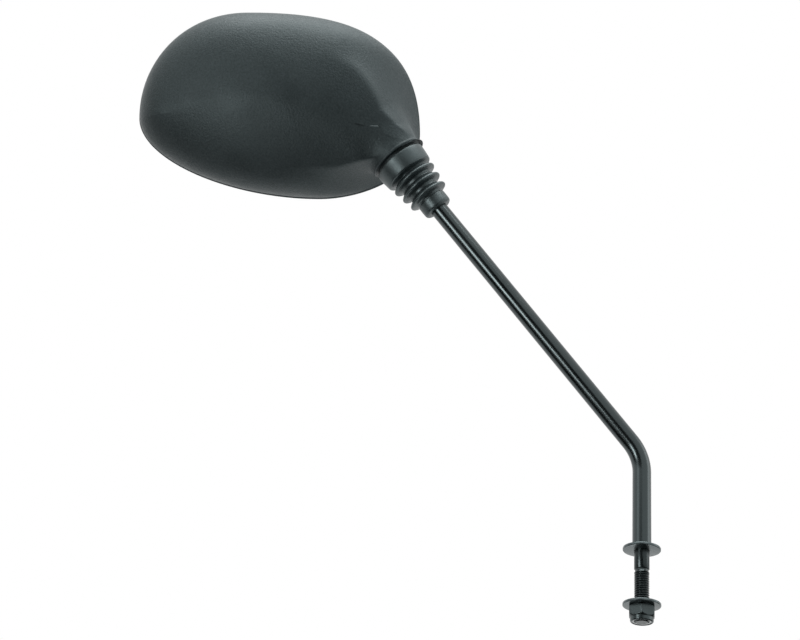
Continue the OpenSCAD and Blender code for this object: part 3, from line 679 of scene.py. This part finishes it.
def flat_sheet(name, corners, finish):
    """A flat sheet of the studio, which is no part of the mirror."""
    sheet = bpy.data.objects.new(name, bpy.data.meshes.new(name))
    sheet.data.from_pydata([tuple(c) for c in corners], [], [(0, 1, 2, 3)])
    sheet.data.materials.append(finish)
    bpy.context.collection.objects.link(sheet)
    return sheet


floor_paint = new_finish("floor_paint", Roughness=0.9, Base_Color=(0.8, 0.8, 0.8, 1),
                         Emission_Color=(1, 1, 1, 1), Emission_Strength=FLOOR_GLOW)[0]
floor_corners = [(x * FLOOR_HALF, y * FLOOR_HALF, FLOOR_AT) for x, y in ((-1, -1), (1, -1), (1, 1), (-1, 1))]
floor = flat_sheet("floor", floor_corners, floor_paint)
floor.visible_glossy = floor.visible_diffuse = False


def lamp(name, at, aim, size, watts):
    """A soft lamp that points at aim."""
    light = bpy.data.lights.new(name, "AREA")
    light.shape, light.size, light.size_y = "RECTANGLE", size[0], size[1]
    light.energy = watts
    holder = bpy.data.objects.new(name, light)
    holder.location = at
    holder.rotation_euler = (aim - Vector(at)).to_track_quat("-Z", "Y").to_euler()
    bpy.context.collection.objects.link(holder)
    return holder


def beside_bar(at):
    """From a place beside the bar: the way to the bar's middle, and the way up the bar square to it."""
    toward = (BAR_MIDDLE - at).normalized()
    return toward, (UPPER_DIR - UPPER_DIR.dot(toward) * toward).normalized()


lamp("lamp_above", (-0.3, -0.65, 1.72), HEAD_AND_BAR, (1.8, 1.4), 40)
lamp("lamp_right", (1.4, -0.5, 0.6), HEAD_AND_BAR, (0.8, 1.4), 4.5)
lamp("lamp_left", (-1.6, -0.6, 0.6), HEAD_AND_BAR, (0.8, 1.4), 3)
lamp("lamp_low", (0.05, 0.25, -0.4), STUD_MIDDLE, (0.3, 0.3), 0.8)
# A narrow lamp lies along the bar and draws the thin bright line on it.
line = lamp("lamp_line", (-0.977, -0.631, -0.347), BAR_MIDDLE, (0.36, 0.9), 10)
toward, line_up = beside_bar(line.location)
line.rotation_euler = Matrix((line_up.cross(-toward), line_up, -toward)).transposed().to_euler()
line.visible_diffuse = False
# Two black cards, seen in reflections only, keep the gloss dark from the left and from below.
card_black = new_finish("card_black", Roughness=1.0, Base_Color=(0, 0, 0, 1), Specular_IOR_Level=0.0)[0]
CARD_LEFT, CARD_RIGHT, CARD_UP = 1.35, 3.1, 1.5
CARD_AT = Vector((-1.448, -0.638, -0.643))
toward, card_up = beside_bar(CARD_AT)
card_side = card_up.cross(toward)
side_card = [CARD_AT + a * card_side + b * card_up for a, b in (
    (-CARD_RIGHT, -CARD_UP), (CARD_LEFT, -CARD_UP), (CARD_LEFT, CARD_UP), (-CARD_RIGHT, CARD_UP))]
LOW_CARD_AT = -0.48
low_card = [(x, y, LOW_CARD_AT) for x, y in ((-1.5, -1.8), (1.2, -1.8), (1.2, 0.45), (-1.5, 0.45))]
for k, corners in enumerate((side_card, low_card)):
    card = flat_sheet(f"card_{k}", corners, card_black)
    card.visible_camera = card.visible_diffuse = card.visible_shadow = card.visible_transmission = False

# The surroundings are white where they are seen or mirrored, and only a dim fill light otherwise.
FILL_LEVEL = 0.14
world = bpy.data.worlds.new("white_room")
bpy.context.scene.world = world
world.use_nodes = True
w_tree = world.node_tree
w_tree.nodes.clear()
w_out = add_node(w_tree, "ShaderNodeOutputWorld", 400, 0)
w_back = add_node(w_tree, "ShaderNodeBackground", 200, 0, Color=(1, 1, 1, 1))
w_path = add_node(w_tree, "ShaderNodeLightPath", -600, 0)
w_seen = add_node(w_tree, "ShaderNodeMath", -350, 0, operation="MAXIMUM")
w_all = add_node(w_tree, "ShaderNodeMath", -200, 0, operation="MAXIMUM")
w_level = add_node(w_tree, "ShaderNodeMapRange", 0, 0)
set_range(w_level, FILL_LEVEL, 1.0)
join(w_tree, (w_path.outputs["Is Camera Ray"], w_seen.inputs[0]),
     (w_path.outputs["Is Glossy Ray"], w_seen.inputs[1]), (w_seen.outputs[0], w_all.inputs[0]),
     (w_path.outputs["Is Transmission Ray"], w_all.inputs[1]), (w_all.outputs[0], w_level.inputs[0]),
     (w_level.outputs[0], w_back.inputs["Strength"]), (w_back.outputs[0], w_out.inputs[0]))
bpy.context.scene.view_settings.view_transform = "Standard"
